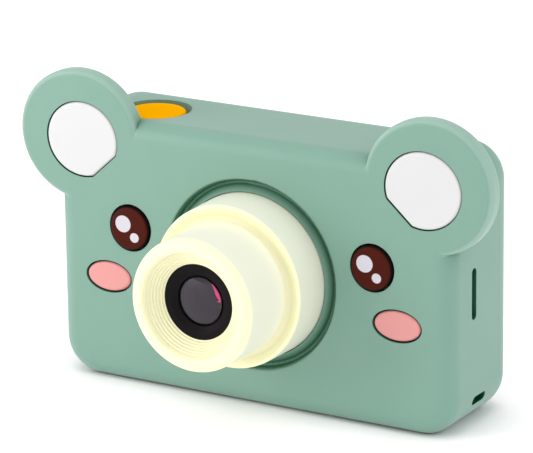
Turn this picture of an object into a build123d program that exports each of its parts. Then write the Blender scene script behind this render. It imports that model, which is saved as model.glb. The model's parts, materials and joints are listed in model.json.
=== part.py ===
from build123d import *
import math
import os

# A kids digital camera: a hard two-piece casing in a soft sleeve with round ears.
# Millimetres. +X is the side with the card slot, the lens looks along -Y, +Z is up.
# "Depth" is measured backwards from the sleeve's front face, so the lens has negative depths.

# ---- driving dimensions ----
BODY_W = 103.0
BODY_H = 63.0
BODY_DEPTH = 30.2
CORNER_R = 8.8
FRONT_ROUND = 4.1
BACK_ROUND = 7.0
SLEEVE_WALL = 2.4
LIP = 2.5                      # sleeve's back lip, which holds the casing in
WINDOW_W = 88.0                # opening in the back lip
WINDOW_H = 48.4
WINDOW_R = 6.0
SNUG = 0.1                     # gap between sleeve and casing
GAP = 0.3                      # gap round keys and other loose fits
RUNNING = 0.05                 # radial clearance of a plunger in its switch

EAR_X = 45.4
EAR_Z = 57.95
EAR_A = 16.0                   # half width
EAR_B = 15.45                  # half height
EAR_T = 4.3
EAR_ROUND = 1.3
INSERT_X = 44.3
INSERT_Z = 57.25
INSERT_A = 9.65                # pocket's half width
INSERT_B = 9.0                 # pocket's half height
INSERT_FLAT = 8.3              # distance from the pocket's centre to its flat side
INSERT_DEPTH = 1.4
INSERT_TILT = 48               # flat side's angle from upright, in degrees
INSERT_CORNER = 1.2
INSERT_GAP = 0.2               # gap round the plate

EYE_X = 31.65
EYE_Z = 37.8
EYE_A = 5.6
EYE_B = 5.65
CHEEK_X = 37.85
CHEEK_Z = 25.2
CHEEK_A = 6.25
CHEEK_B = 3.87
PAD_GAP = 0.3                  # gap round an eye or cheek pad
EYE_PROUD = 0.7                # pad's middle in front of the sleeve's face
EYE_CROWN = 1.0                # rounding of the pad's rim
CHEEK_PROUD = 0.05
CHEEK_CROWN = 0.9
GLINTS = ((-1.55, 0.95, 2.05, 2.0), (1.45, -2.0, 1.18, 1.14))      # x and z from the eye's middle, half sizes

LENS_Z = 31.3
MOAT_OUT = 22.25               # groove in the sleeve round the barrel
MOAT_FOOT = 21.5               # where its two walls meet
MOAT_IN = 19.4
MOAT_DEPTH = 2.0
MOAT_ROUND = 0.5               # groove's outer edge and bottom
MOAT_LIP = 0.35                # groove's inner lip below the sleeve's face
BARREL_R = 19.2
SHOULDER = 10.75               # how far the wide step stands out
NECK_R = 15.4
LENS_REACH = 26.05             # how far the lens stands out
BARREL_WALL = 1.8
FUNNEL_R = 11.93
FUNNEL_SET = 1.1               # first groove's depth behind the lens front
SHOULDER_R = 18.95             # the wide step tapers a little
ROOT_R = 15.5                  # the wide step's face slopes back to the neck's root
ROOT_SET = 1.95                # how far back the root lies
BEZEL_R = 8.72
BEZEL_SET = 4.05               # bezel's front behind the lens front
GLASS_R = 5.35

SHUTTER_X = -31.9
SHUTTER_DEPTH = 12.4
SHUTTER_HOLE_R = 8.4
SHUTTER_R = 7.0
SHUTTER_SET = 0.25             # cap's top below the sleeve's top
SHUTTER_TRAVEL = 0.5

CARD_DEPTH = 10.6
CARD_Z = 31.8
CARD_L = 15.0
CARD_W = 11.0
CARD_T = 1.0
SLIT_L = 12.0
SLIT_W = 1.6                   # in the casing
SLIT_OPEN = 2.1                # width of the sleeve's slit
CARD_SET = 4.0                 # card's outer end inside the sleeve's side

STRAP_DEPTH = 13.6
STRAP_Z = 6.4
STRAP_L = 6.0
STRAP_W = 2.1
STRAP_BAR_R = 0.8
STRAP_BAR_SET = 3.7            # bar's middle inside the casing's side

SHELL_WALL = 1.8
SPLIT = 18.0                   # depth of the casing's parting line
PANEL_SET = 0.6                # back panel's face inside the sleeve's back
SCREW_X = 39.5
SCREW_LOW = 11.0
SCREW_HIGH = 52.0

SCREEN_X = 13.5
SCREEN_W = 50.0
SCREEN_H = 38.0
KEY_X = -27.0
KEY_Z = 34.0
KEY_STEP = 8.8
KEY_R = 3.3
KEY_PROUD = 0.8                # keys stand this far behind the sleeve's back
KEY_TRAVEL = 0.4
SMALL_KEY_Z = 49.5
SMALL_KEY_STEP = 5.5
SMALL_KEY_R = 2.9
SPEAKER_Z = 14.0

USB_DEPTH = 14.4
USB_Z = 31.5
USB_CUT_W = 7.0                # sleeve's cut-out round the port
USB_CUT_H = 12.4

# ---- worked out from them ----
WHOLE_DEPTH = LENS_REACH + BODY_DEPTH + KEY_PROUD
FACE_Y = LENS_REACH - WHOLE_DEPTH / 2
MID_Z = BODY_H / 2
CASE_FRONT = SLEEVE_WALL + SNUG
CASE_BACK = BODY_DEPTH - LIP - SNUG
CASE_W = BODY_W - 2 * CASE_FRONT
CASE_H = BODY_H - 2 * CASE_FRONT
CASE_R = CORNER_R - CASE_FRONT
INNER_W = CASE_W - 2 * SHELL_WALL
INNER_H = CASE_H - 2 * SHELL_WALL
INNER_R = CASE_R - SHELL_WALL
PANEL_FACE = BODY_DEPTH - PANEL_SET
PANEL_IN = CASE_BACK - SHELL_WALL
PANEL_W = WINDOW_W - 2 * SNUG
PANEL_H = WINDOW_H - 2 * SNUG
PANEL_R = WINDOW_R - SNUG

BOARD_FRONT = CARD_DEPTH + 0.95      # main board lies just behind the card socket
BOARD_T = 1.2
KEY_BOARD = 20.6
KEY_BOARD_T = 1.0
SWITCH_H = 2.2
SWITCH_W = 5.2
PLUNGER_R = 1.4
FLANGE_T = 0.8                       # keys' inner flange, which stops them falling out
KEYS = {
    "key_ok": (KEY_X, KEY_Z, KEY_R),
    "key_up": (KEY_X, KEY_Z + KEY_STEP, KEY_R),
    "key_down": (KEY_X, KEY_Z - KEY_STEP, KEY_R),
    "key_left": (KEY_X + KEY_STEP, KEY_Z, KEY_R),
    "key_right": (KEY_X - KEY_STEP, KEY_Z, KEY_R),
    "key_power": (KEY_X - SMALL_KEY_STEP, SMALL_KEY_Z, SMALL_KEY_R),
    "key_mode": (KEY_X + SMALL_KEY_STEP, SMALL_KEY_Z, SMALL_KEY_R),
}
KEY_POSTS = [(KEY_X + dx, z) for dx in (-13.2, 12.2) for z in (25.0, 42.0)]
CORNERS = [(x, z) for x in (-SCREW_X, SCREW_X) for z in (SCREW_LOW, SCREW_HIGH)]
FLANGE_FRONT = CASE_FRONT + SHELL_WALL + 3.0
FLANGE_THICK = 1.5
FLANGE_R = 25.4
FLANGE_SCREW_R = 22.9
BORE_R = 13.2                        # inside of the barrel's neck
SEAT = 1.2                           # thickness of the ledge behind the bezel


# ---- helpers: sketches are drawn in X and Z, depths run backwards ----
def front_plane(depth):
    return Plane(origin=(0, FACE_Y + depth, 0), x_dir=(1, 0, 0), z_dir=(0, -1, 0))


def plate(sketch, depth, thick):
    return extrude(front_plane(depth) * sketch, amount=-thick)


def disc(r, x, z, depth, thick):
    return plate(Pos(x, z) * Circle(r), depth, thick)


def ring(r_out, r_in, x, z, depth, thick):
    return plate(Pos(x, z) * Circle(r_out) - Pos(x, z) * Circle(r_in), depth, thick)


def oval(a, b, x, z, depth, thick):
    return plate(Pos(x, z) * Ellipse(a, b), depth, thick)


def block(w, h, x, z, depth, thick, r=0.0):
    shape = RectangleRounded(w, h, r) if r else Rectangle(w, h)
    return plate(Pos(x, z) * shape, depth, thick)


def turned(points, x=0.0, z=LENS_Z):
    """Solid of revolution about the front-to-back axis; points are (radius, depth)."""
    plane = Plane(origin=(x, FACE_Y, z), x_dir=(1, 0, 0), z_dir=(0, 0, 1))
    outline = make_face(Polyline(*points, close=True))
    return revolve(plane * outline, axis=Axis((x, FACE_Y, z), (0, 1, 0)))


def post_z(r, x, depth, z_low, z_high):
    plane = Plane(origin=(x, FACE_Y + depth, z_low), z_dir=(0, 0, 1))
    return extrude(plane * Circle(r), amount=z_high - z_low)


def side_block(length, wide, high, x_low, depth, z, r=0.0):
    """Block from x_low along +X; wide is measured front to back, high is vertical."""
    plane = Plane(origin=(x_low, FACE_Y + depth, z), x_dir=(0, 1, 0), z_dir=(1, 0, 0))
    shape = RectangleRounded(wide, high, r) if r else Rectangle(wide, high)
    return extrude(plane * shape, amount=length)


def front_edges(solid):
    return solid.faces().sort_by(Axis.Y)[0].edges()


def back_edges(solid):
    return solid.faces().sort_by(Axis.Y)[-1].edges()


def top_edges(solid):
    return solid.faces().sort_by(Axis.Z)[-1].edges()


def screw(x, z, head_depth, length, shank_r, head_r, head_t):
    """Cross-recess pan-head screw, its head facing backwards from head_depth."""
    body = disc(shank_r, x, z, head_depth - length, length)
    head = disc(head_r, x, z, head_depth, head_t)
    head = fillet(back_edges(head), head_t * 0.4)
    cross = Rectangle(head_r * 1.1, head_r * 0.3) + Rectangle(head_r * 0.3, head_r * 1.1)
    recess = plate(Pos(x, z) * cross, head_depth + head_t * 0.45, head_t)
    return body + head - recess


# ---- sleeve and its inlays ----
def ear(side):
    solid = oval(EAR_A, EAR_B, side * EAR_X, EAR_Z, 0, EAR_T)
    solid = fillet(front_edges(solid), EAR_ROUND)
    return fillet(back_edges(solid), EAR_ROUND)


def insert_outline(side, shrink=0.0):
    """Oval with one flat side, which faces the camera's middle, and softened corners."""
    a = INSERT_A - shrink
    b = INSERT_B - shrink
    flat = INSERT_FLAT - shrink
    cut = Rot(0, 0, INSERT_TILT) * Pos(-flat - a, 0) * Rectangle(2 * a, 4 * a)
    shape = Ellipse(a, b) - cut
    shape = fillet(shape.vertices(), INSERT_CORNER)
    if side < 0:
        shape = mirror(shape, about=Plane.YZ)
    return Pos(side * INSERT_X, INSERT_Z) * shape


def silicone_cover():
    solid = block(BODY_W, BODY_H, 0, MID_Z, 0, BODY_DEPTH, CORNER_R)
    solid = fillet(front_edges(solid), FRONT_ROUND)
    solid = fillet(back_edges(solid), BACK_ROUND)
    solid = solid + ear(-1) + ear(1)
    cavity_w = BODY_W - 2 * SLEEVE_WALL
    cavity_h = BODY_H - 2 * SLEEVE_WALL
    cavity_t = BODY_DEPTH - LIP - SLEEVE_WALL
    cavity = block(cavity_w, cavity_h, 0, MID_Z, SLEEVE_WALL, cavity_t, CORNER_R - SLEEVE_WALL)
    cavity = fillet(front_edges(cavity), FRONT_ROUND - SLEEVE_WALL)
    cavity = fillet(back_edges(cavity), BACK_ROUND - LIP)
    solid -= cavity
    solid -= block(WINDOW_W, WINDOW_H, 0, MID_Z, BODY_DEPTH - LIP - 1, LIP + 2, WINDOW_R)
    solid -= disc(MOAT_IN, 0, LENS_Z, -1, SLEEVE_WALL + 2)
    solid -= moat()
    for side in (-1, 1):
        solid -= oval(EYE_A, EYE_B, side * EYE_X, EYE_Z, -1, SLEEVE_WALL + 2)
        solid -= oval(CHEEK_A, CHEEK_B, side * CHEEK_X, CHEEK_Z, -1, SLEEVE_WALL + 2)
        solid -= plate(insert_outline(side), -1, INSERT_DEPTH + 1)
    solid -= post_z(SHUTTER_HOLE_R, SHUTTER_X, SHUTTER_DEPTH, BODY_H - SLEEVE_WALL - 1, BODY_H + 1)
    slit_x = BODY_W / 2 - SLEEVE_WALL - 1
    solid -= side_block(5, SLIT_OPEN, SLIT_L, slit_x, CARD_DEPTH, CARD_Z, SLIT_OPEN * 0.49)
    strap_x = BODY_W / 2 - CORNER_R
    solid -= side_block(CORNER_R + 1, STRAP_L, STRAP_W, strap_x, STRAP_DEPTH, STRAP_Z, STRAP_W * 0.49)
    solid -= side_block(5, USB_CUT_W, USB_CUT_H, -BODY_W / 2 - 1, USB_DEPTH, USB_Z, 3.0)
    return solid


def moat():
    """Groove round the barrel: a steep outer wall, a rounded bottom and a slope up to its inner lip."""
    edge = MOAT_OUT + MOAT_ROUND
    rounding = ThreePointArc(
        (MOAT_OUT, MOAT_ROUND),
        (edge - MOAT_ROUND * 0.7071, MOAT_ROUND * 0.2929),
        (edge, 0),
    )
    rest = Polyline(
        (edge, 0),
        (edge, -1),
        (MOAT_IN, -1),
        (MOAT_IN, MOAT_LIP),
        (MOAT_FOOT, MOAT_DEPTH),
        (MOAT_OUT, MOAT_ROUND),
    )
    outline = make_face([*rest.edges(), rounding])
    foot = outline.vertices().sort_by(Axis.Y)[-1]
    outline = fillet(foot, MOAT_ROUND)
    plane = Plane(origin=(0, FACE_Y, LENS_Z), x_dir=(1, 0, 0), z_dir=(0, 0, 1))
    return revolve(plane * outline, axis=Axis((0, FACE_Y, LENS_Z), (0, 1, 0)))


def ear_insert(side):
    solid = plate(insert_outline(side, INSERT_GAP), -0.1, INSERT_DEPTH + 0.1)
    return fillet(front_edges(solid), 0.7)


def pad(a, b, x, z, crown, set_back):
    """Oval pad standing on the casing, its face rounded over."""
    solid = oval(a, b, x, z, set_back, CASE_FRONT - set_back)
    return fillet(front_edges(solid), crown)


def glint_cutter(side):
    """Both eyes catch the light on the same side, so the glints are not mirrored."""
    spots = [oval(a, b, side * EYE_X + x, EYE_Z + z, -1, SLEEVE_WALL) for x, z, a, b in GLINTS]
    return spots[0] + spots[1]


def whole_eye(side):
    return pad(EYE_A - PAD_GAP, EYE_B - PAD_GAP, side * EYE_X, EYE_Z, EYE_CROWN, -EYE_PROUD)


def eye(side):
    return whole_eye(side) - glint_cutter(side)


def eye_glints(side):
    return whole_eye(side) & glint_cutter(side)


def cheek(side):
    a = CHEEK_A - PAD_GAP
    b = CHEEK_B - PAD_GAP
    return pad(a, b, side * CHEEK_X, CHEEK_Z, CHEEK_CROWN, -CHEEK_PROUD)


# ---- lens ----
def lens_barrel():
    front = -LENS_REACH
    wide_bore = SHOULDER_R - BARREL_WALL
    step = -SHOULDER
    root = step + ROOT_SET
    bezel_back = front + BEZEL_SET + 2.9
    groove_count = 6
    run = (FUNNEL_R - BEZEL_R) / groove_count
    drop = (BEZEL_SET - FUNNEL_SET) / groove_count
    outline = [
        (BARREL_R, FLANGE_FRONT),
        (BARREL_R, 0),
        (SHOULDER_R, step),
        (ROOT_R, root),
        (NECK_R, front),
        (FUNNEL_R + 0.5, front),
    ]
    for i in range(groove_count):
        outline.append((FUNNEL_R - i * run, front + FUNNEL_SET + i * drop))
        outline.append((FUNNEL_R - i * run - 0.12, front + FUNNEL_SET + (i + 1) * drop))
    outline += [
        (BEZEL_R + 0.05, front + BEZEL_SET),
        (BEZEL_R + 0.05, bezel_back),
        (BEZEL_R - 2, bezel_back),
        (BEZEL_R - 2, bezel_back + SEAT),
        (BORE_R, bezel_back + SEAT),
        (BORE_R, root + BARREL_WALL),
        (wide_bore, root + BARREL_WALL),
        (wide_bore, FLANGE_FRONT + FLANGE_THICK),
        (FLANGE_R, FLANGE_FRONT + FLANGE_THICK),
        (FLANGE_R, FLANGE_FRONT),
    ]
    solid = turned(outline)
    rounds = [
        (SHOULDER_R, step, 0.7),
        (ROOT_R, root, 0.8),
        (NECK_R, front, 1.9),
        (FUNNEL_R + 0.5, front, 0.8),
    ]
    for r, depth, radius in rounds:
        solid = fillet(rings_at(solid, r, depth), radius)
    post_front = bezel_back + SEAT - 0.2
    for x in (-8.0, 8.0):
        solid += disc(1.6, x, LENS_Z, post_front, sensor_depth() - post_front)
        solid -= disc(0.6, x, LENS_Z, sensor_depth() - 4.0, 5.0)
    for x, z in flange_screws():
        solid -= disc(1.15, x, z, FLANGE_FRONT - 1, FLANGE_THICK + 2)
    return solid


def rings_at(solid, r, depth):
    """The solid's round edges of that radius at that depth."""
    found = []
    for edge in solid.edges().filter_by(GeomType.CIRCLE):
        if abs(edge.radius - r) < 0.01 and abs(edge.arc_center.Y - FACE_Y - depth) < 0.01:
            found.append(edge)
    return found


def flange_screws():
    spots = []
    for angle in (45, 135, 225, 315):
        x = FLANGE_SCREW_R * math.cos(math.radians(angle))
        z = LENS_Z + FLANGE_SCREW_R * math.sin(math.radians(angle))
        spots.append((x, z))
    return spots


def sensor_depth():
    return -LENS_REACH + 14.0


def lens_bezel():
    front = -LENS_REACH + BEZEL_SET
    back = front + 2.85
    glass_seat = front + 1.9
    outline = [
        (BEZEL_R, front),
        (BEZEL_R - 1.3, front + 0.1),
        (GLASS_R + 0.55, front + 0.95),
        (GLASS_R + 0.45, glass_seat),
        (GLASS_R - 0.4, glass_seat),
        (GLASS_R - 0.4, back),
        (BEZEL_R, back),
    ]
    return turned(outline)


def lens_glass():
    seat = -LENS_REACH + BEZEL_SET + 1.9
    bulge = 0.5
    edge = 0.7
    ball_r = (GLASS_R ** 2 + bulge ** 2) / (2 * bulge)
    ball = Pos(0, FACE_Y + seat - edge - bulge + ball_r, LENS_Z) * Sphere(ball_r)
    return disc(GLASS_R, 0, LENS_Z, seat - edge - bulge, edge + bulge) & ball


def lens_holder():
    top = -LENS_REACH + BEZEL_SET + 4.4
    base = sensor_depth() - 2.4
    solid = disc(5.4, 0, LENS_Z, top, base - top + 0.2)
    solid += block(11, 11, 0, LENS_Z, base, 2.4, 1.0)
    solid -= disc(4.2, 0, LENS_Z, top - 1, base - top + 1)
    return solid - block(8, 8, 0, LENS_Z, base - 0.1, 2.6)


def inner_lens():
    top = -LENS_REACH + BEZEL_SET + 5.2
    solid = disc(4.15, 0, LENS_Z, top, 2.2)
    return fillet(front_edges(solid), 0.9)


def sensor_board():
    solid = block(22, 14, 0, LENS_Z, sensor_depth(), 1.0, 1.5)
    for x in (-8.0, 8.0):
        solid -= disc(0.85, x, LENS_Z, sensor_depth() - 1, 3)
    return solid


def image_sensor():
    return block(6, 5, 0, LENS_Z, sensor_depth() - 0.9, 0.9)


def sensor_ribbon():
    run = block(9, 0.2, 0, LENS_Z - 4.5, sensor_depth() + 1.0, BOARD_FRONT - 1.2 - sensor_depth() - 1.0)
    return run


# ---- casing ----
def screw_towers(depth, thick, r):
    return [disc(r, x, z, depth, thick) for x, z in CORNERS]


def front_shell():
    solid = block(CASE_W, CASE_H, 0, MID_Z, CASE_FRONT, SPLIT - CASE_FRONT, CASE_R)
    solid = fillet(front_edges(solid), FRONT_ROUND - CASE_FRONT)
    hollow = block(INNER_W, INNER_H, 0, MID_Z, CASE_FRONT + SHELL_WALL, SPLIT, INNER_R)
    solid -= fillet(front_edges(hollow), 0.7)
    solid += ring(25.6, BARREL_R + 0.1, 0, LENS_Z, CASE_FRONT + SHELL_WALL, 3.0)
    tongue = RectangleRounded(INNER_W - 0.2, INNER_H - 0.2, INNER_R - 0.1)
    tongue -= RectangleRounded(INNER_W - 1.8, INNER_H - 1.8, INNER_R - 0.9)
    solid += plate(Pos(0, MID_Z) * tongue, SPLIT - 2.5, 4.0)
    web = RectangleRounded(INNER_W + 0.4, INNER_H + 0.4, INNER_R)
    web -= RectangleRounded(INNER_W - 1.8, INNER_H - 1.8, INNER_R - 0.9)
    solid += plate(Pos(0, MID_Z) * web, SPLIT - 2.5, 2.5)
    for tower in screw_towers(CASE_FRONT + 1, SPLIT - CASE_FRONT - 1, 3.0):
        solid += tower
    for pilot in screw_towers(CASE_FRONT + 3, SPLIT, 0.75):
        solid -= pilot
    solid -= disc(BARREL_R + 0.1, 0, LENS_Z, 0, 10)
    for x, z in flange_screws():
        solid -= disc(0.75, x, z, CASE_FRONT + 1.2, 5)
    for x, z in board_screws_at():
        solid += disc(2.0, x, z, CASE_FRONT + 1, BOARD_FRONT - CASE_FRONT - 1)
        solid -= disc(0.6, x, z, CASE_FRONT + 3, BOARD_FRONT)
    case_x = CASE_W / 2
    solid -= side_block(5, SLIT_W, SLIT_L, case_x - 3, CARD_DEPTH, CARD_Z)
    solid -= side_block(8, STRAP_L, 4.4, case_x - 6.6, STRAP_DEPTH, STRAP_Z)
    solid -= side_block(6, 3.6, 9.4, -case_x - 2, USB_DEPTH, USB_Z, 1.75)
    return solid - shutter_hole() - strap_bar_shape(0.05)


def shutter_hole():
    return post_z(SHUTTER_R + GAP, SHUTTER_X, SHUTTER_DEPTH, MID_Z + CASE_H / 2 - 4, BODY_H)


def strap_bar_shape(clearance=0.0):
    x = CASE_W / 2 - STRAP_BAR_SET
    return post_z(STRAP_BAR_R + clearance, x, STRAP_DEPTH, STRAP_Z - 2.5, STRAP_Z + 3.3)


def rear_shell():
    solid = block(CASE_W, CASE_H, 0, MID_Z, SPLIT, CASE_BACK - SPLIT, CASE_R)
    solid = fillet(back_edges(solid), BACK_ROUND - LIP)
    solid += block(PANEL_W, PANEL_H, 0, MID_Z, CASE_BACK - 1, PANEL_FACE - CASE_BACK + 1, PANEL_R)
    hollow = block(INNER_W, INNER_H, 0, MID_Z, SPLIT - 1, PANEL_IN - SPLIT + 1, INNER_R)
    solid -= fillet(back_edges(hollow), 1.2)
    for tower in screw_towers(SPLIT + 0.1, PANEL_IN - SPLIT, 3.0):
        solid += tower
    for hole in screw_towers(SPLIT - 1, 20, 1.05):
        solid -= hole
    for sink in screw_towers(PANEL_FACE - 1.7, 5, 2.3):
        solid -= sink
    solid -= block(SCREEN_W, SCREEN_H, SCREEN_X, MID_Z, PANEL_FACE - 1.4, 5, 2.5)
    solid -= block(SCREEN_W - 4, SCREEN_H - 4, SCREEN_X, MID_Z, PANEL_IN - 1, 9, 1.5)
    for x, z, r in KEYS.values():
        solid -= disc(r + GAP, x, z, PANEL_IN - 1, 9)
    solid -= disc(1.1, KEY_X, SMALL_KEY_Z + 0.5, PANEL_IN - 1, 9)
    for x, z in grille_holes():
        solid -= disc(0.6, x, z, PANEL_IN - 1, 9)
    for x, z in KEY_POSTS:
        solid += disc(2.0, x, z, KEY_BOARD + KEY_BOARD_T, PANEL_IN + 0.5 - KEY_BOARD - KEY_BOARD_T)
        solid -= disc(0.6, x, z, KEY_BOARD, 4.5)
    return solid - shutter_hole()


def grille_holes():
    holes = [(KEY_X, SPEAKER_Z)]
    for count, r in ((6, 2.2), (12, 4.4)):
        for i in range(count):
            angle = 2 * math.pi * i / count
            holes.append((KEY_X + r * math.cos(angle), SPEAKER_Z + r * math.sin(angle)))
    return holes


def screw_group(spots, head_depth, length, shank_r, head_r, head_t):
    screws = [screw(x, z, head_depth, length, shank_r, head_r, head_t) for x, z in spots]
    return Compound(children=screws)


def board_screws_at():
    return [(-30.0, 20.0), (40.5, 20.0), (-30.0, 45.5), (40.5, 45.5)]


# ---- back panel ----
def screen_window():
    solid = block(SCREEN_W - 0.2, SCREEN_H - 0.2, SCREEN_X, MID_Z, PANEL_FACE - 1.4, 1.3, 2.4)
    return fillet(back_edges(solid), 0.3)


def lcd_panel():
    return block(44.6, 33.0, SCREEN_X, MID_Z, PANEL_IN - 1.9, 1.8, 0.5)


def lcd_frame():
    solid = block(52, 34.6, SCREEN_X, MID_Z, PANEL_IN - 3.0, 2.9, 1.0)
    return solid - block(44.8, 33.2, SCREEN_X, MID_Z, PANEL_IN - 1.95, 5)


def switch_top():
    return KEY_BOARD + KEY_BOARD_T + SWITCH_H


def key_cap(name):
    x, z, r = KEYS[name]
    face = BODY_DEPTH + KEY_PROUD
    flange_depth = PANEL_IN - KEY_TRAVEL
    solid = disc(r, x, z, flange_depth, face - flange_depth)
    solid = fillet(back_edges(solid), 0.7)
    solid += disc(r + 0.8, x, z, PANEL_IN - 0.1 - FLANGE_T, FLANGE_T)
    return solid


def key_plunger(name):
    x, z, _ = KEYS[name]
    top = PANEL_IN - 0.1 - FLANGE_T
    return disc(PLUNGER_R, x, z, switch_top() - 1.2, top - switch_top() + 1.2)


def key_switch(name):
    x, z, _ = KEYS[name]
    solid = block(SWITCH_W, SWITCH_W, x, z, KEY_BOARD + KEY_BOARD_T, SWITCH_H, 0.4)
    return solid - disc(PLUNGER_R + RUNNING, x, z, switch_top() - 1.2 - KEY_TRAVEL - 0.1, 5)


def key_switches():
    return Compound(children=[key_switch(name) for name in KEYS])


def key_board():
    solid = block(30.6, 33.0, KEY_X - 0.7, 38.3, KEY_BOARD, KEY_BOARD_T, 1.0)
    for x, z in CORNERS:
        solid -= disc(3.5, x, z, KEY_BOARD - 1, 3)
    for x, z in KEY_POSTS:
        solid -= disc(0.85, x, z, KEY_BOARD - 1, 3)
    return solid


def key_board_screws():
    """Their heads face forwards, so they are made facing back and turned over."""
    turned_over = Plane(origin=(0, FACE_Y + KEY_BOARD, 0), z_dir=(0, 1, 0))
    return mirror(screw_group(KEY_POSTS, KEY_BOARD, 4.5, 0.6, 1.3, 0.8), about=turned_over)


def led_lens():
    return disc(1.05, KEY_X, SMALL_KEY_Z + 0.5, KEY_BOARD + KEY_BOARD_T, PANEL_FACE - KEY_BOARD - KEY_BOARD_T)


def speaker():
    solid = disc(6.5, KEY_X, SPEAKER_Z, PANEL_IN - 3.6, 3.5)
    return solid - ring(5.6, 5.0, KEY_X, SPEAKER_Z, PANEL_IN - 0.5, 2)


# ---- electronics ----
def main_board():
    solid = block(88, 34, 0.5, MID_Z, BOARD_FRONT, BOARD_T, 1.0)
    for x, z in board_screws_at():
        solid -= disc(0.85, x, z, BOARD_FRONT - 1, 3)
    return solid


def processor():
    return block(10, 10, -14, MID_Z, BOARD_FRONT + BOARD_T, 1.0)


def card_x():
    return BODY_W / 2 - CARD_SET - CARD_L


def card_socket():
    start = card_x() - 1.0
    solid = side_block(13.5, 1.8, 13.0, start, CARD_DEPTH, CARD_Z)
    return solid - side_block(20, CARD_T + 0.2, CARD_W + 0.2, card_x() - 0.2, CARD_DEPTH, CARD_Z)


def memory_card():
    solid = side_block(CARD_L, CARD_T, CARD_W, card_x(), CARD_DEPTH, CARD_Z)
    notch = side_block(8, 3, 1.4, card_x() - 1, CARD_DEPTH, CARD_Z + CARD_W / 2)
    return solid - notch


def usb_port():
    mouth = -CASE_W / 2 + 0.2
    solid = side_block(7.0, 3.2, 9.0, mouth, USB_DEPTH, USB_Z, 1.55)
    solid -= side_block(6.2, 2.6, 8.4, mouth - 0.1, USB_DEPTH, USB_Z, 1.25)
    return solid + side_block(5.6, 0.7, 6.7, mouth + 0.9, USB_DEPTH, USB_Z)


def battery():
    solid = block(42, 30, 14, MID_Z, BOARD_FRONT + BOARD_T + 0.6, 6.0, 1.0)
    return fillet(solid.edges().filter_by(Axis.X), 1.2)


def battery_pad():
    return block(36, 24, 14, MID_Z, BOARD_FRONT + BOARD_T, 0.6)


def key_ribbon():
    depth = BOARD_FRONT + BOARD_T
    return block(10, 0.2, KEY_X + 6, MID_Z - 6, depth, KEY_BOARD - depth)


def microphone():
    return disc(2.0, -38.0, MID_Z + 12, BOARD_FRONT + BOARD_T, 1.5)


# ---- shutter ----
def shutter_button():
    top = BODY_H - SHUTTER_SET
    roof = MID_Z + INNER_H / 2
    solid = post_z(SHUTTER_R, SHUTTER_X, SHUTTER_DEPTH, roof - 0.6, top)
    solid = fillet(top_edges(solid), 0.8)
    lug_plane = Plane(origin=(SHUTTER_X, FACE_Y + SHUTTER_DEPTH - 1.5, roof - 0.9), z_dir=(0, 0, 1))
    lugs = extrude(lug_plane * Rectangle(2 * SHUTTER_R + 4.4, 5.6), amount=0.8)
    return solid + lugs


def shutter_plunger():
    roof = MID_Z + INNER_H / 2
    return post_z(PLUNGER_R, SHUTTER_X, SHUTTER_DEPTH + 2.0, shutter_switch_top() - 1.2, roof - 0.9)


def shutter_switch_top():
    return MID_Z + INNER_H / 2 - 2.6


def shutter_switch():
    top = shutter_switch_top()
    plane = Plane(origin=(SHUTTER_X, FACE_Y + SHUTTER_DEPTH + 2.0, top - 2.6), z_dir=(0, 0, 1))
    solid = extrude(plane * RectangleRounded(SWITCH_W, SWITCH_W, 0.4), amount=2.6)
    floor = top - 1.2 - SHUTTER_TRAVEL - 0.2
    well = post_z(PLUNGER_R + RUNNING, SHUTTER_X, SHUTTER_DEPTH + 2.0, floor, top + 1)
    return solid - well


def shutter_board():
    plane_z = shutter_switch_top() - 2.6 - 1.0
    plane = Plane(origin=(SHUTTER_X, FACE_Y + SHUTTER_DEPTH + 2.0, plane_z), z_dir=(0, 0, 1))
    return extrude(plane * RectangleRounded(8, 7, 0.5), amount=1.0)


def parts():
    nodes = {
        "silicone_cover": silicone_cover(),
        "ear_insert_left": ear_insert(-1),
        "ear_insert_right": ear_insert(1),
        "eye_left": eye(-1),
        "eye_right": eye(1),
        "eye_glints_left": eye_glints(-1),
        "eye_glints_right": eye_glints(1),
        "cheek_left": cheek(-1),
        "cheek_right": cheek(1),
        "lens_barrel": lens_barrel(),
        "lens_bezel": lens_bezel(),
        "lens_glass": lens_glass(),
        "lens_holder": lens_holder(),
        "inner_lens": inner_lens(),
        "sensor_board": sensor_board(),
        "image_sensor": image_sensor(),
        "sensor_ribbon": sensor_ribbon(),
        "front_shell": front_shell(),
        "rear_shell": rear_shell(),
        "shell_screws": screw_group(CORNERS, PANEL_FACE - 1.65, 16.0, 0.75, 2.1, 1.2),
        "barrel_screws": screw_group(flange_screws(), FLANGE_FRONT + FLANGE_THICK, 4.5, 0.75, 1.6, 0.9),
        "board_screws": screw_group(board_screws_at(), BOARD_FRONT + BOARD_T, 4.5, 0.6, 1.3, 0.8),
        "sensor_screws": screw_group([(-8.0, LENS_Z), (8.0, LENS_Z)], sensor_depth() + 1.0, 3.5, 0.6, 1.3, 0.8),
        "strap_bar": strap_bar_shape(),
        "screen_window": screen_window(),
        "lcd_panel": lcd_panel(),
        "lcd_frame": lcd_frame(),
        "key_switches": key_switches(),
        "key_board": key_board(),
        "key_board_screws": key_board_screws(),
        "key_ribbon": key_ribbon(),
        "led_lens": led_lens(),
        "speaker": speaker(),
        "main_board": main_board(),
        "processor": processor(),
        "card_socket": card_socket(),
        "memory_card": memory_card(),
        "usb_port": usb_port(),
        "battery": battery(),
        "battery_pad": battery_pad(),
        "microphone": microphone(),
        "shutter_button": shutter_button(),
        "shutter_plunger": shutter_plunger(),
        "shutter_switch": shutter_switch(),
        "shutter_board": shutter_board(),
    }
    for name in KEYS:
        nodes[name] = key_cap(name)
        nodes[name + "_plunger"] = key_plunger(name)
    return nodes


os.makedirs("parts", exist_ok=True)
for node, shape in parts().items():
    export_step(shape, f"parts/{node}.step")
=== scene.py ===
import json
import math

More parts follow.
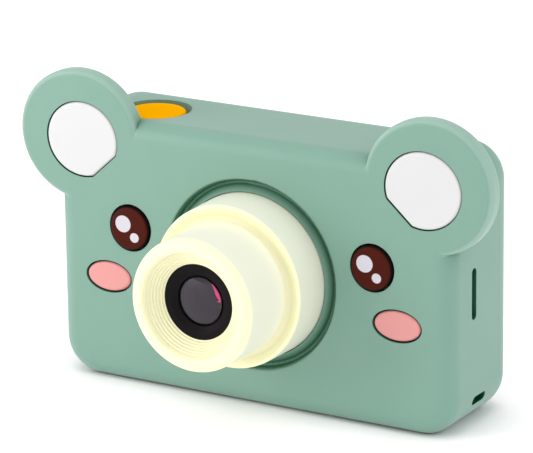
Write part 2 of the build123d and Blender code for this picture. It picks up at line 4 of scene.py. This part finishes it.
import bmesh
import bpy
from mathutils import Matrix, Vector


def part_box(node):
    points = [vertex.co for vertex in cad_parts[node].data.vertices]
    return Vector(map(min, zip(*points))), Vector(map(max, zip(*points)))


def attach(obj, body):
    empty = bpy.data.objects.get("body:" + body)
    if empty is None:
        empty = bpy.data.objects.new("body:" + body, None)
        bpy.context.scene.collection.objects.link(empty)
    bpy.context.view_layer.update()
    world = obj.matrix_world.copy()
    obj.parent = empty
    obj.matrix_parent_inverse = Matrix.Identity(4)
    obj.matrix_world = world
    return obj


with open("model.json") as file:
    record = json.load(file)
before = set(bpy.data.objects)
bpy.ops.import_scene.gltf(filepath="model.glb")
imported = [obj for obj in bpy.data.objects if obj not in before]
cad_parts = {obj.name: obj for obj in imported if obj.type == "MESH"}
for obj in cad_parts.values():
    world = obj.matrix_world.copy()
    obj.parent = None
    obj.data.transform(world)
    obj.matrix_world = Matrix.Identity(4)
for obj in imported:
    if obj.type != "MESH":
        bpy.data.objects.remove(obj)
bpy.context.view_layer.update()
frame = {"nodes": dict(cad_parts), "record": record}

MM = 0.001
NODES = frame["nodes"]

# ---- camera and light, in degrees and metres; azimuth 0 is in front of the lens ----
CAMERA_AZIMUTH = 30.82
CAMERA_ELEVATION = 17.14
CAMERA_ROLL = -0.76
CAMERA_DISTANCE = 0.8258
CAMERA_LENS = 246.9                      # millimetres
SENSOR_WIDTH = 36                        # millimetres
AIM = Vector((0.9, 6.3, 41.2)) * MM      # from the middle of the sleeve's front face, at floor height
LAMP_AIM = Vector((0, 0, 30)) * MM
WORLD_LIGHT = 0.755
WHITE = (1.0, 1.0, 1.0)

# ---- floor ----
FLOOR_SIZE = 6
FLOOR_GLOW = 0.22
FLOOR_SHADE = 13.0 * MM                  # FLOOR_SHADE = 13.0 * MM # how near the object the glow is held back, which paints a contact shadow
FLOOR_OPEN = (0.3, 0.8)                  # openness where the glow starts, and where it is full

# ---- the glass's crescent of painted reflection: angles in degrees, the rest as parts of the glass's radius ----
FLARE_START = 57
FLARE_END = 5
FLARE_RIM = 0.965
FLARE_WIDTH = 0.13
FLARE_LEAST = 0.012
FLARE_SKEW = 1.3                         # over 1 puts the widest place past the middle
KNOB_WIDTH = 0.16
KNOB_PLACE = 0.965                       # along the crescent, from 0 to 1
KNOB_SPREAD = 0.028
FLARE_STEPS = 40
FLARE_THICK = 0.03 * MM
GLASS_BULGE = 0.5 * MM                   # how far the glass's face is domed

# ---- printed icons ----
PRINT_SINK = 0.05 * MM
PRINT_PROUD = 0.02 * MM
ARROW = 1.35                             # millimetres, from an arrow's middle to its points
ARC_STEPS = 28


# ---- places read from the frame, and the sizes of what lies on them ----
def middle(node):
    low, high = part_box(node)
    return (low + high) / 2


SLEEVE_LOW, SLEEVE_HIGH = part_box("silicone_cover")
FACE_Y = SLEEVE_LOW.y
EAR_HALF = Vector((16.0, 0, 15.45)) * MM  # half an ear's width and height
EAR_MIDDLE = SLEEVE_HIGH - EAR_HALF      # the ears reach farthest out and up
EAR_THICK = 4.4 * MM
LENS = middle("lens_bezel")
SCREEN_LOW, SCREEN_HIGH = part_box("lcd_panel")
SCREEN_BORDER = 1.6 * MM

# ---- the ears' rims, where a highlight is painted: 1 is the ear's outline, 0 its middle ----
RIM_START = 0.895
RIM_FULL = 0.94
RIM_END = 1.004
RIM_SQUARE = (0.86, 0.995)               # squareness where the rim's colour is full, and where it is gone

# ---- painted shade in gaps and grooves: openness where a piece's painted shade colour is full, and where it is gone ----
GAP_OPEN = (0.15, 0.8)
GROOVE_OPEN = (0.5, 0.95)


# ---- material building ----
class Recipe:
    """A Principled material with helpers that add procedural detail in object space."""

    def __init__(self, name, color, **sockets):
        self.material = bpy.data.materials.new(name)
        self.material.use_nodes = True
        self.tree = self.material.node_tree
        self.tree.nodes.clear()
        output = self.add("ShaderNodeOutputMaterial")
        self.shader = self.add("ShaderNodeBsdfPrincipled")
        self.link(self.shader.outputs[0], output.inputs[0])
        self.place = self.add("ShaderNodeTexCoord").outputs["Object"]
        self.color = color
        self.normal = None
        self.shader.inputs["Base Color"].default_value = (*color, 1)
        for socket, value in sockets.items():
            self.shader.inputs[socket.replace("_", " ")].default_value = value

    def add(self, kind, **settings):
        node = self.tree.nodes.new(kind)
        for key, value in settings.items():
            setattr(node, key, value)
        return node

    def link(self, a, b):
        self.tree.links.new(a, b)

    def split(self, vector):
        node = self.add("ShaderNodeSeparateXYZ")
        self.link(vector, node.inputs[0])
        return node.outputs

    def math(self, operation, *values):
        node = self.add("ShaderNodeMath", operation=operation)
        for value, socket in zip(values, node.inputs):
            if isinstance(value, bpy.types.NodeSocket):
                self.link(value, socket)
            else:
                socket.default_value = value
        return node.outputs[0]

    def noise(self, scale, detail=3.0, roughness=0.5, stretch=None):
        node = self.add("ShaderNodeTexNoise")
        node.inputs["Scale"].default_value = scale
        node.inputs["Detail"].default_value = detail
        node.inputs["Roughness"].default_value = roughness
        source = self.place
        if stretch:
            mapping = self.add("ShaderNodeMapping")
            mapping.inputs["Scale"].default_value = stretch
            self.link(source, mapping.inputs["Vector"])
            source = mapping.outputs["Vector"]
        self.link(source, node.inputs["Vector"])
        return node.outputs["Fac"]

    def remap(self, value, low, high, from_low=0.3, from_high=0.7):
        """Turn from_low..from_high, which a noise mostly stays in, into low..high."""
        node = self.add("ShaderNodeMapRange")
        self.link(value, node.inputs["Value"])
        node.inputs["From Min"].default_value = from_low
        node.inputs["From Max"].default_value = from_high
        node.inputs["To Min"].default_value = low
        node.inputs["To Max"].default_value = high
        return node.outputs["Result"]

    def mix(self, factor, a, b):
        node = self.add("ShaderNodeMix", data_type="RGBA")
        blend, color_a, color_b = node.inputs[0], node.inputs[6], node.inputs[7]
        for value, socket in ((factor, blend), (a, color_a), (b, color_b)):
            if isinstance(value, bpy.types.NodeSocket):
                self.link(value, socket)
            elif socket == blend:
                socket.default_value = value
            else:
                socket.default_value = (*value, 1)
        return node.outputs[2]

    def tint(self, gain):
        return tuple(min(1.0, c * gain) for c in self.color)

    def mottle(self, broad, fine, amount):
        """Cloudy tone and a finer, fainter speckle."""
        faint = amount * 0.6
        cloud = self.remap(self.noise(broad), 0, 1)
        cloud = self.mix(cloud, self.tint(1 - amount), self.tint(1 + amount))
        speck = self.remap(self.noise(fine, 2.0), 0, 1)
        speck = self.mix(speck, self.tint(1 - faint), self.tint(1 + faint))
        color = self.mix(0.5, cloud, speck)
        self.link(color, self.shader.inputs["Base Color"])
        return color

    def openness(self, reach, local, low, high):
        """0 in a tight place, 1 in the open, looking as far as reach; local sees this piece alone."""
        node = self.add("ShaderNodeAmbientOcclusion", samples=8, only_local=local)
        node.inputs["Distance"].default_value = reach
        return self.remap(node.outputs["AO"], 0, 1, low, high)

    def squareness(self):
        """1 on faces square to the lens axis, 0 on walls that run front to back."""
        geometry = self.add("ShaderNodeNewGeometry")
        return self.math("ABSOLUTE", self.split(geometry.outputs["Normal"])["Y"])

    def ear_rim(self):
        """1 on the rounded rims of the two ears, where a highlight is painted, 0 elsewhere."""
        place = self.split(self.place)
        across = self.math("SUBTRACT", self.math("ABSOLUTE", place["X"]), EAR_MIDDLE.x)
        across = self.math("DIVIDE", across, EAR_HALF.x)
        up = self.math("SUBTRACT", place["Z"], EAR_MIDDLE.z)
        up = self.math("DIVIDE", up, EAR_HALF.z)
        square_sum = self.math("ADD", self.math("POWER", across, 2), self.math("POWER", up, 2))
        reach = self.math("SQRT", square_sum)
        inner = self.remap(reach, 0, 1, RIM_START, RIM_FULL)
        outer = self.math("LESS_THAN", reach, RIM_END)
        front = self.math("LESS_THAN", place["Y"], FACE_Y + EAR_THICK)
        turned = self.remap(self.squareness(), 1, 0, *RIM_SQUARE)
        rounded = self.math("MULTIPLY", inner, turned)
        on_ear = self.math("MULTIPLY", outer, front)
        return self.math("MULTIPLY", rounded, on_ear)

    def paint_crevice_shade(self, color, painted_shade, gap, groove, shine=0.5, sheen=0.0):
        """Painted shade: darken the colour towards the given shade colour, and fade the shine and sheen,
        in gaps next to other pieces and in the piece's own grooves, which are wider.
        """
        beside = self.openness(gap, False, *GAP_OPEN)
        opened = self.math("MULTIPLY", beside, self.openness(groove, True, *GROOVE_OPEN))
        # painted shade: the colour turns to the shade colour where little is open
        self.link(self.mix(opened, painted_shade, color), self.shader.inputs["Base Color"])
        self.link(self.remap(opened, 0, shine, 0, 1), self.shader.inputs["Specular IOR Level"])
        if sheen:
            self.link(self.remap(opened, 0, sheen, 0, 1), self.shader.inputs["Sheen Weight"])

    def paint_by_facing(self, painted_side, front, low=0.05, high=0.35):
        """Painted light and shade: one colour on walls that run front to back and another on faces square
        to the lens axis.
        """
        return self.mix(self.remap(self.squareness(), 0, 1, low, high), painted_side, front)

    def rough(self, low, high, scale):
        self.link(self.remap(self.noise(scale, 4.0), low, high), self.shader.inputs["Roughness"])

    def bump(self, height, strength, distance):
        node = self.add("ShaderNodeBump")
        node.inputs["Strength"].default_value = strength
        node.inputs["Distance"].default_value = distance
        self.link(height, node.inputs["Height"])
        if self.normal:
            self.link(self.normal, node.inputs["Normal"])
        self.normal = node.outputs["Normal"]
        self.link(self.normal, self.shader.inputs["Normal"])

    def grain(self, scale, strength, distance):
        self.bump(self.noise(scale, 2.0, 0.6), strength, distance)


def silicone(name, color, painted_shade, groove, shine, sheen, rim_highlight=None):
    """Soft matte rubber with a hazy shine and a fine moulded grain; the rim colour paints a highlight on
    the ears' rims, and painted shade darkens its gaps and grooves.
    """
    r = Recipe(name, color, Sheen_Roughness=0.5)
    tone = r.mottle(broad=35.0, fine=2200.0, amount=0.035)
    if rim_highlight:
        # painted highlight on the ears' rounded rims
        tone = r.mix(r.ear_rim(), tone, rim_highlight)
    r.paint_crevice_shade(tone, painted_shade, 0.8 * MM, groove, shine, sheen)
    r.rough(0.5, 0.6, scale=90.0)
    r.grain(scale=5200.0, strength=0.2, distance=0.02 * MM)
    r.bump(r.noise(260.0, 2.0), strength=0.05, distance=0.06 * MM)
    return r.material


def satin_plastic(name, color, roughness, grain, mottle, painted_shade=None, **sockets):
    """Moulded ABS: mottle varies its colour slightly, and grain is its spark-eroded texture."""
    r = Recipe(name, color, **sockets)
    tone = r.mottle(broad=60.0, fine=3000.0, amount=mottle)
    if painted_shade:
        r.paint_crevice_shade(tone, painted_shade, gap=0.9 * MM, groove=0.9 * MM)
    r.rough(*roughness, scale=150.0)
    r.grain(scale=7000.0, strength=grain, distance=0.012 * MM)
    return r.material


def white_plastic(name):
    """The casing's and the keys' white ABS, with painted shade greying its seams."""
    # painted shade colour for the seams
    seam_shade = (0.35, 0.36, 0.35)
    return satin_plastic(name, (0.8, 0.81, 0.79), (0.28, 0.38), grain=0.08, mottle=0.012, painted_shade=seam_shade)


def barrel_plastic(name, front, painted_side, painted_shade):
    """Satin ABS, painted warmer on the faces square to the lens axis than on the turned walls, where a
    whiter colour stands in for light; painted shade darkens its gaps and grooves.
    """
    r = Recipe(name, front)
    cloud = r.remap(r.noise(60.0), 0.975, 1.0)
    speck = r.remap(r.noise(3000.0, 2.0), 0.985, 1.0)
    soiled = (0.3, 0.28, 0.2)
    # painted light: the turned walls take the whiter side colour
    color = r.mix(r.math("MULTIPLY", cloud, speck), soiled, r.paint_by_facing(painted_side, front))
    r.paint_crevice_shade(color, painted_shade, gap=1.0 * MM, groove=2.0 * MM)
    r.rough(0.4, 0.5, scale=150.0)
    r.grain(scale=7000.0, strength=0.08, distance=0.012 * MM)
    return r.material


def gloss_enamel(name, color, painted_shade, coat):
    """Satin domed pad with a thin clear layer and a faint orange-peel; painted shade darkens its rounded
    edge and the gaps around it.
    """
    r = Recipe(name, color, Coat_Weight=coat, Coat_Roughness=0.25)
    # painted shade on the pad's rounded edge, where it turns away from the front
    tone = r.paint_by_facing(painted_shade, r.mottle(broad=300.0, fine=2600.0, amount=0.08), low=0.72, high=0.93)
    r.paint_crevice_shade(tone, painted_shade, gap=1.6 * MM, groove=1.6 * MM, shine=0.06)
    r.rough(0.4, 0.5, scale=400.0)
    r.bump(r.noise(420.0, 1.0), strength=0.05, distance=0.05 * MM)
    return r.material


def metal(name, color, roughness, stretch):
    """Plated steel with drawn scratches."""
    r = Recipe(name, color, Metallic=1.0)
    r.mottle(broad=200.0, fine=2500.0, amount=0.08)
    r.rough(*roughness, scale=600.0)
    r.bump(r.noise(1600.0, 3.0, 0.6, stretch), strength=0.15, distance=0.02 * MM)
    return r.material


def board(name, color):
    """Solder mask with copper tracks showing faintly through it."""
    r = Recipe(name, color, Coat_Weight=0.3, Coat_Roughness=0.2)
    tracks = r.add("ShaderNodeTexBrick")
    tracks.inputs["Scale"].default_value = 350.0
    tracks.inputs["Mortar Size"].default_value = 0.03
    for socket, gain in (("Color1", 1.0), ("Color2", 1.25), ("Mortar", 1.8)):
        tracks.inputs[socket].default_value = (*r.tint(gain), 1)
    r.link(r.place, tracks.inputs["Vector"])
    r.link(tracks.outputs["Color"], r.shader.inputs["Base Color"])
    r.rough(0.3, 0.45, scale=500.0)
    r.bump(tracks.outputs["Fac"], strength=0.1, distance=0.03 * MM)
    return r.material


def screen(name):
    """Black acrylic window; the sleeping display shows as a slightly lighter rectangle."""
    r = Recipe(name, (0.006, 0.006, 0.007), Coat_Weight=0.6, Coat_Roughness=0.03)
    place = r.split(r.place)
    center = (SCREEN_LOW + SCREEN_HIGH) / 2
    half = (SCREEN_HIGH - SCREEN_LOW) / 2
    across = r.math("ABSOLUTE", r.math("SUBTRACT", place["X"], center.x))
    up = r.math("ABSOLUTE", r.math("SUBTRACT", place["Z"], center.z))
    in_width = r.math("LESS_THAN", across, half.x - SCREEN_BORDER)
    in_height = r.math("LESS_THAN", up, half.z - SCREEN_BORDER)
    inside = r.math("MULTIPLY", in_width, in_height)
    glow = r.mix(r.remap(r.noise(45.0), 0, 1), (0.016, 0.018, 0.022), (0.022, 0.024, 0.03))
    r.link(r.mix(inside, (0.004, 0.004, 0.005), glow), r.shader.inputs["Base Color"])
    r.rough(0.05, 0.12, scale=200.0)
    return r.material


def clear_glass(name, color, coating):
    """Lens glass; the coating tints what it reflects."""
    r = Recipe(name, color, Transmission_Weight=1.0, IOR=1.5, Coat_Weight=0.2, Coat_Roughness=0.0)
    r.shader.inputs["Specular Tint"].default_value = (*coating, 1)
    r.shader.inputs["Coat Tint"].default_value = (*coating, 1)
    r.mottle(broad=200.0, fine=1500.0, amount=0.02)
    r.rough(0.0, 0.01, scale=200.0)
    return r.material


def film(name, color):
    """Polyimide ribbon or foil pouch with faint creases."""
    r = Recipe(name, color, Metallic=0.2)
    r.mottle(broad=150.0, fine=2500.0, amount=0.1)
    r.rough(0.3, 0.45, scale=300.0)
    r.bump(r.noise(180.0, 3.0), strength=0.2, distance=0.1 * MM)
    return r.material


MATERIALS = {
    # silicone and cheek_pink carry a painted shade colour for gaps and grooves; silicone also a painted
    # highlight colour for the ears' rims
    "silicone": silicone(
        "silicone", (0.15, 0.318, 0.243), painted_shade=(0.001, 0.075, 0.024),
        groove=8.0 * MM, shine=0.95, sheen=0.25, rim_highlight=(0.24, 0.41, 0.33),
    ),
    "cheek_pink": silicone(
        "cheek_pink", (0.72, 0.3, 0.285), painted_shade=(0.2, 0.05, 0.03), groove=1.2 * MM, shine=0.4, sheen=0.05,
    ),
    "eye_brown": gloss_enamel("eye_brown", (0.064, 0.008, 0.003), painted_shade=(0.004, 0.001, 0.001), coat=0.01),
    "cream": barrel_plastic("cream", (0.96, 0.94, 0.61), painted_side=(0.86, 0.87, 0.72), painted_shade=(0.83, 0.8, 0.57)),
    "case": white_plastic("case"),
    "key_white": white_plastic("key_white"),
    "ear_white": satin_plastic("ear_white", (0.665, 0.67, 0.675), (0.35, 0.45), 0.06, 0.012),
    "glint_white": satin_plastic("glint_white", (0.6, 0.58, 0.64), (0.35, 0.45), 0.05, 0.012),
    "black": satin_plastic(
        "black", (0.008, 0.007, 0.008), (0.5, 0.6), 0.15, 0.1, Specular_IOR_Level=0.06,
    ),
    "orange": satin_plastic(
        "orange", (0.95, 0.42, 0.001), (0.42, 0.52), 0.08, 0.02, Specular_IOR_Level=0.0,
    ),
    "print_grey": satin_plastic("print_grey", (0.07, 0.075, 0.08), (0.45, 0.55), 0.1, 0.05),
    # painted reflection of the lens coating
    "flare": satin_plastic("flare", (0.66, 0.03, 0.19), (0.3, 0.4), 0.02, 0.15),
    "lcd": satin_plastic("lcd", (0.02, 0.02, 0.03), (0.1, 0.2), 0.02, 0.1),
    "chip": satin_plastic("chip", (0.02, 0.02, 0.02), (0.5, 0.6), 0.2, 0.1),
    "foam": satin_plastic("foam", (0.03, 0.03, 0.03), (0.85, 0.95), 0.5, 0.2),
    "led_clear": satin_plastic("led_clear", (0.75, 0.78, 0.76), (0.3, 0.4), 0.1, 0.03),
    "lens_glass": clear_glass("lens_glass", (0.1, 0.09, 0.11), coating=(0.95, 0.88, 1.0)),
    "clear_lens": clear_glass("clear_lens", (0.8, 0.85, 0.85), coating=(0.7, 0.9, 1.0)),
    "screen_glass": screen("screen_glass"),
    "steel": metal("steel", (0.56, 0.56, 0.57), (0.25, 0.4), stretch=(1.0, 1.0, 0.1)),
    "shield": metal("shield", (0.62, 0.62, 0.6), (0.3, 0.45), stretch=(0.2, 1.0, 1.0)),
    "board_green": board("board_green", (0.02, 0.12, 0.05)),
    "ribbon": film("ribbon", (0.45, 0.2, 0.04)),
    "foil": film("foil", (0.5, 0.51, 0.53)),
}


def paint_frame():
    for part in frame["record"]["subparts"]:
        for holder in NODES[part["node"]].material_slots:
            holder.material = MATERIALS[part["material_slot"]]


# ---- pieces that the frame leaves plain ----
def new_piece(name, vertices, faces, material, body="camera"):
    mesh = bpy.data.meshes.new(name)
    mesh.from_pydata(vertices, [], faces)
    bm = bmesh.new()
    bm.from_mesh(mesh)
    bmesh.ops.recalc_face_normals(bm, faces=bm.faces)
    bm.to_mesh(mesh)
    bm.free()
    piece = bpy.data.objects.new(name, mesh)
    bpy.context.scene.collection.objects.link(piece)
    mesh.materials.append(MATERIALS[material])
    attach(piece, body)


# ---- painted reflection of the coating in the front glass ----
def flare_width(t):
    """Width at t along the crescent: a smooth swell, and a small knob near the end."""
    knob = KNOB_WIDTH * math.exp(-((t - KNOB_PLACE) / KNOB_SPREAD) ** 2)
    return FLARE_WIDTH * math.sin(math.pi * t ** FLARE_SKEW) + FLARE_LEAST + knob


def painted_coating_reflection():
    """Painted reflection: a crescent of magenta along the glass's rim, standing in for the coating's
    reflection, lying on its domed face.
    """
    low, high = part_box("lens_glass")
    radius = (high.x - low.x) / 2
    dome = (radius ** 2 + GLASS_BULGE ** 2) / (2 * GLASS_BULGE)
    # each step has four corners: the rim's and the inner edge's, each raised and then on the glass
    vertices = []
    for i in range(FLARE_STEPS + 1):
        t = i / FLARE_STEPS
        angle = math.radians(FLARE_START + (FLARE_END - FLARE_START) * t)
        for reach in (FLARE_RIM, FLARE_RIM - flare_width(t)):
            r = radius * reach
            for lift in (FLARE_THICK, 0.0):
                y = low.y + dome - math.sqrt(dome ** 2 - r ** 2) - lift
                vertices.append((LENS.x + r * math.cos(angle), y, LENS.z + r * math.sin(angle)))
    faces = [(0, 1, 3, 2), tuple(4 * FLARE_STEPS + n for n in (0, 1, 3, 2))]
    for i in range(FLARE_STEPS):
        a, b = 4 * i, 4 * (i + 1)
        for m, n in ((0, 1), (1, 3), (3, 2), (2, 0)):
            faces.append((a + m, a + n, b + n, b + m))
    new_piece("painted_coating_reflection", vertices, faces, "flare")


# ---- printed icons on the keys; u runs right as seen from behind, v up, in millimetres ----
def polar(r, degrees):
    angle = math.radians(degrees)
    return r * math.cos(angle), r * math.sin(angle)


def arc(r, start, end):
    return [polar(r, start + (end - start) * i / ARC_STEPS) for i in range(ARC_STEPS + 1)]


def band(r_out, r_in, start, end):
    return arc(r_out, start, end) + arc(r_in, end, start)


def arrow(turn):
    return [polar(ARROW, turn + third) for third in (0, 120, 240)]


def bar(w, h, v):
    low, high = v - h / 2, v + h / 2
    return [(-w / 2, low), (w / 2, low), (w / 2, high), (-w / 2, high)]


ICONS = {
    "key_up": [arrow(90)],
    "key_down": [arrow(270)],
    "key_left": [arrow(180)],
    "key_right": [arrow(0)],
    "key_ok": [band(1.7, 1.25, 0, 359.9), arc(0.55, 0, 350)],
    "key_power": [band(1.4, 1.0, 125, 415), bar(0.4, 1.3, 0.95)],
    "key_mode": [bar(2.6, 0.4, v) for v in (-0.8, 0, 0.8)],
}


def key_icons():
    for key, outlines in ICONS.items():
        center = middle(key)
        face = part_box(key)[1].y
        vertices, faces = [], []
        for outline in outlines:
            start, count = len(vertices), len(outline)
            for y in (face - PRINT_SINK, face + PRINT_PROUD):
                vertices += [(center.x - u * MM, y, center.z + v * MM) for u, v in outline]
            faces.append(tuple(range(start, start + count)))
            faces.append(tuple(range(start + count, start + 2 * count)))
            for i in range(count):
                j = (i + 1) % count
                faces.append((start + i, start + j, start + count + j, start + count + i))
        new_piece(key.replace("key", "icon"), vertices, faces, "print_grey", key)


# ---- studio ----
def floor():
    bpy.ops.mesh.primitive_plane_add(size=FLOOR_SIZE, location=(0, 0, 0))
    piece = bpy.context.object
    piece.name = "floor"
    # tinted faintly magenta to offset the green light the sleeve throws on it
    r = Recipe("floor_paper", (0.935, 0.915, 0.93), Emission_Color=(*WHITE, 1))
    r.mottle(broad=4.0, fine=60.0, amount=0.004)
    # painted contact shadow: the floor's glow is held back near the object
    clear = r.openness(FLOOR_SHADE, False, *FLOOR_OPEN)
    r.link(r.remap(clear, 0, FLOOR_GLOW, 0, 1), r.shader.inputs["Emission Strength"])
    r.rough(0.75, 0.85, scale=8.0)
    piece.data.materials.append(r.material)


def outward(azimuth, elevation):
    """Unit vector from the object towards a place at these angles, in radians."""
    return Vector((
        math.sin(azimuth) * math.cos(elevation),
        -math.cos(azimuth) * math.cos(elevation),
        math.sin(elevation),
    ))


def area_light(name, direction, distance, size, power, color):
    """direction is (azimuth, elevation), in degrees."""
    offset = outward(*(math.radians(a) for a in direction))
    data = bpy.data.lights.new(name, "AREA")
    data.shape = "RECTANGLE"
    data.size, data.size_y = size
    data.energy = power
    data.color = color
    lamp = bpy.data.objects.new(name, data)
    lamp.location = LAMP_AIM + offset * distance
    lamp.rotation_euler = (-offset).to_track_quat("-Z", "Y").to_euler()
    bpy.context.scene.collection.objects.link(lamp)


def studio():
    floor()
    area_light("key", (-50, 18), 0.6, (0.35, 0.35), power=1.55, color=(1.0, 0.965, 0.95))
    area_light("top", (0, 86), 1.1, (0.8, 0.8), power=3.0, color=WHITE)
    area_light("side_fill", (82, 24), 0.9, (0.6, 0.7), power=1.65, color=(0.98, 0.99, 1.0))
    world = bpy.data.worlds.new("studio")
    world.use_nodes = True
    background = world.node_tree.nodes["Background"]
    background.inputs["Color"].default_value = (*WHITE, 1)
    background.inputs["Strength"].default_value = WORLD_LIGHT
    scene = bpy.context.scene
    scene.world = world
    scene.view_settings.view_transform = "Standard"


def camera():
    azimuth, elevation, roll = (math.radians(a) for a in (CAMERA_AZIMUTH, CAMERA_ELEVATION, CAMERA_ROLL))
    back = outward(azimuth, elevation)
    level = Vector((math.cos(azimuth), math.sin(azimuth), 0))
    rise = level.cross(-back)
    right = level * math.cos(roll) + rise * math.sin(roll)
    up = rise * math.cos(roll) - level * math.sin(roll)
    data = bpy.data.cameras.new("view")
    data.sensor_fit = "HORIZONTAL"
    data.sensor_width = SENSOR_WIDTH
    data.lens = CAMERA_LENS
    piece = bpy.data.objects.new("view", data)
    turn = Matrix((right, up, back)).transposed()
    aim = AIM + Vector((0, FACE_Y, 0))
    piece.matrix_world = Matrix.Translation(aim + back * CAMERA_DISTANCE) @ turn.to_4x4()
    bpy.context.scene.collection.objects.link(piece)
    bpy.context.scene.camera = piece


paint_frame()
painted_coating_reflection()
key_icons()
studio()
camera()
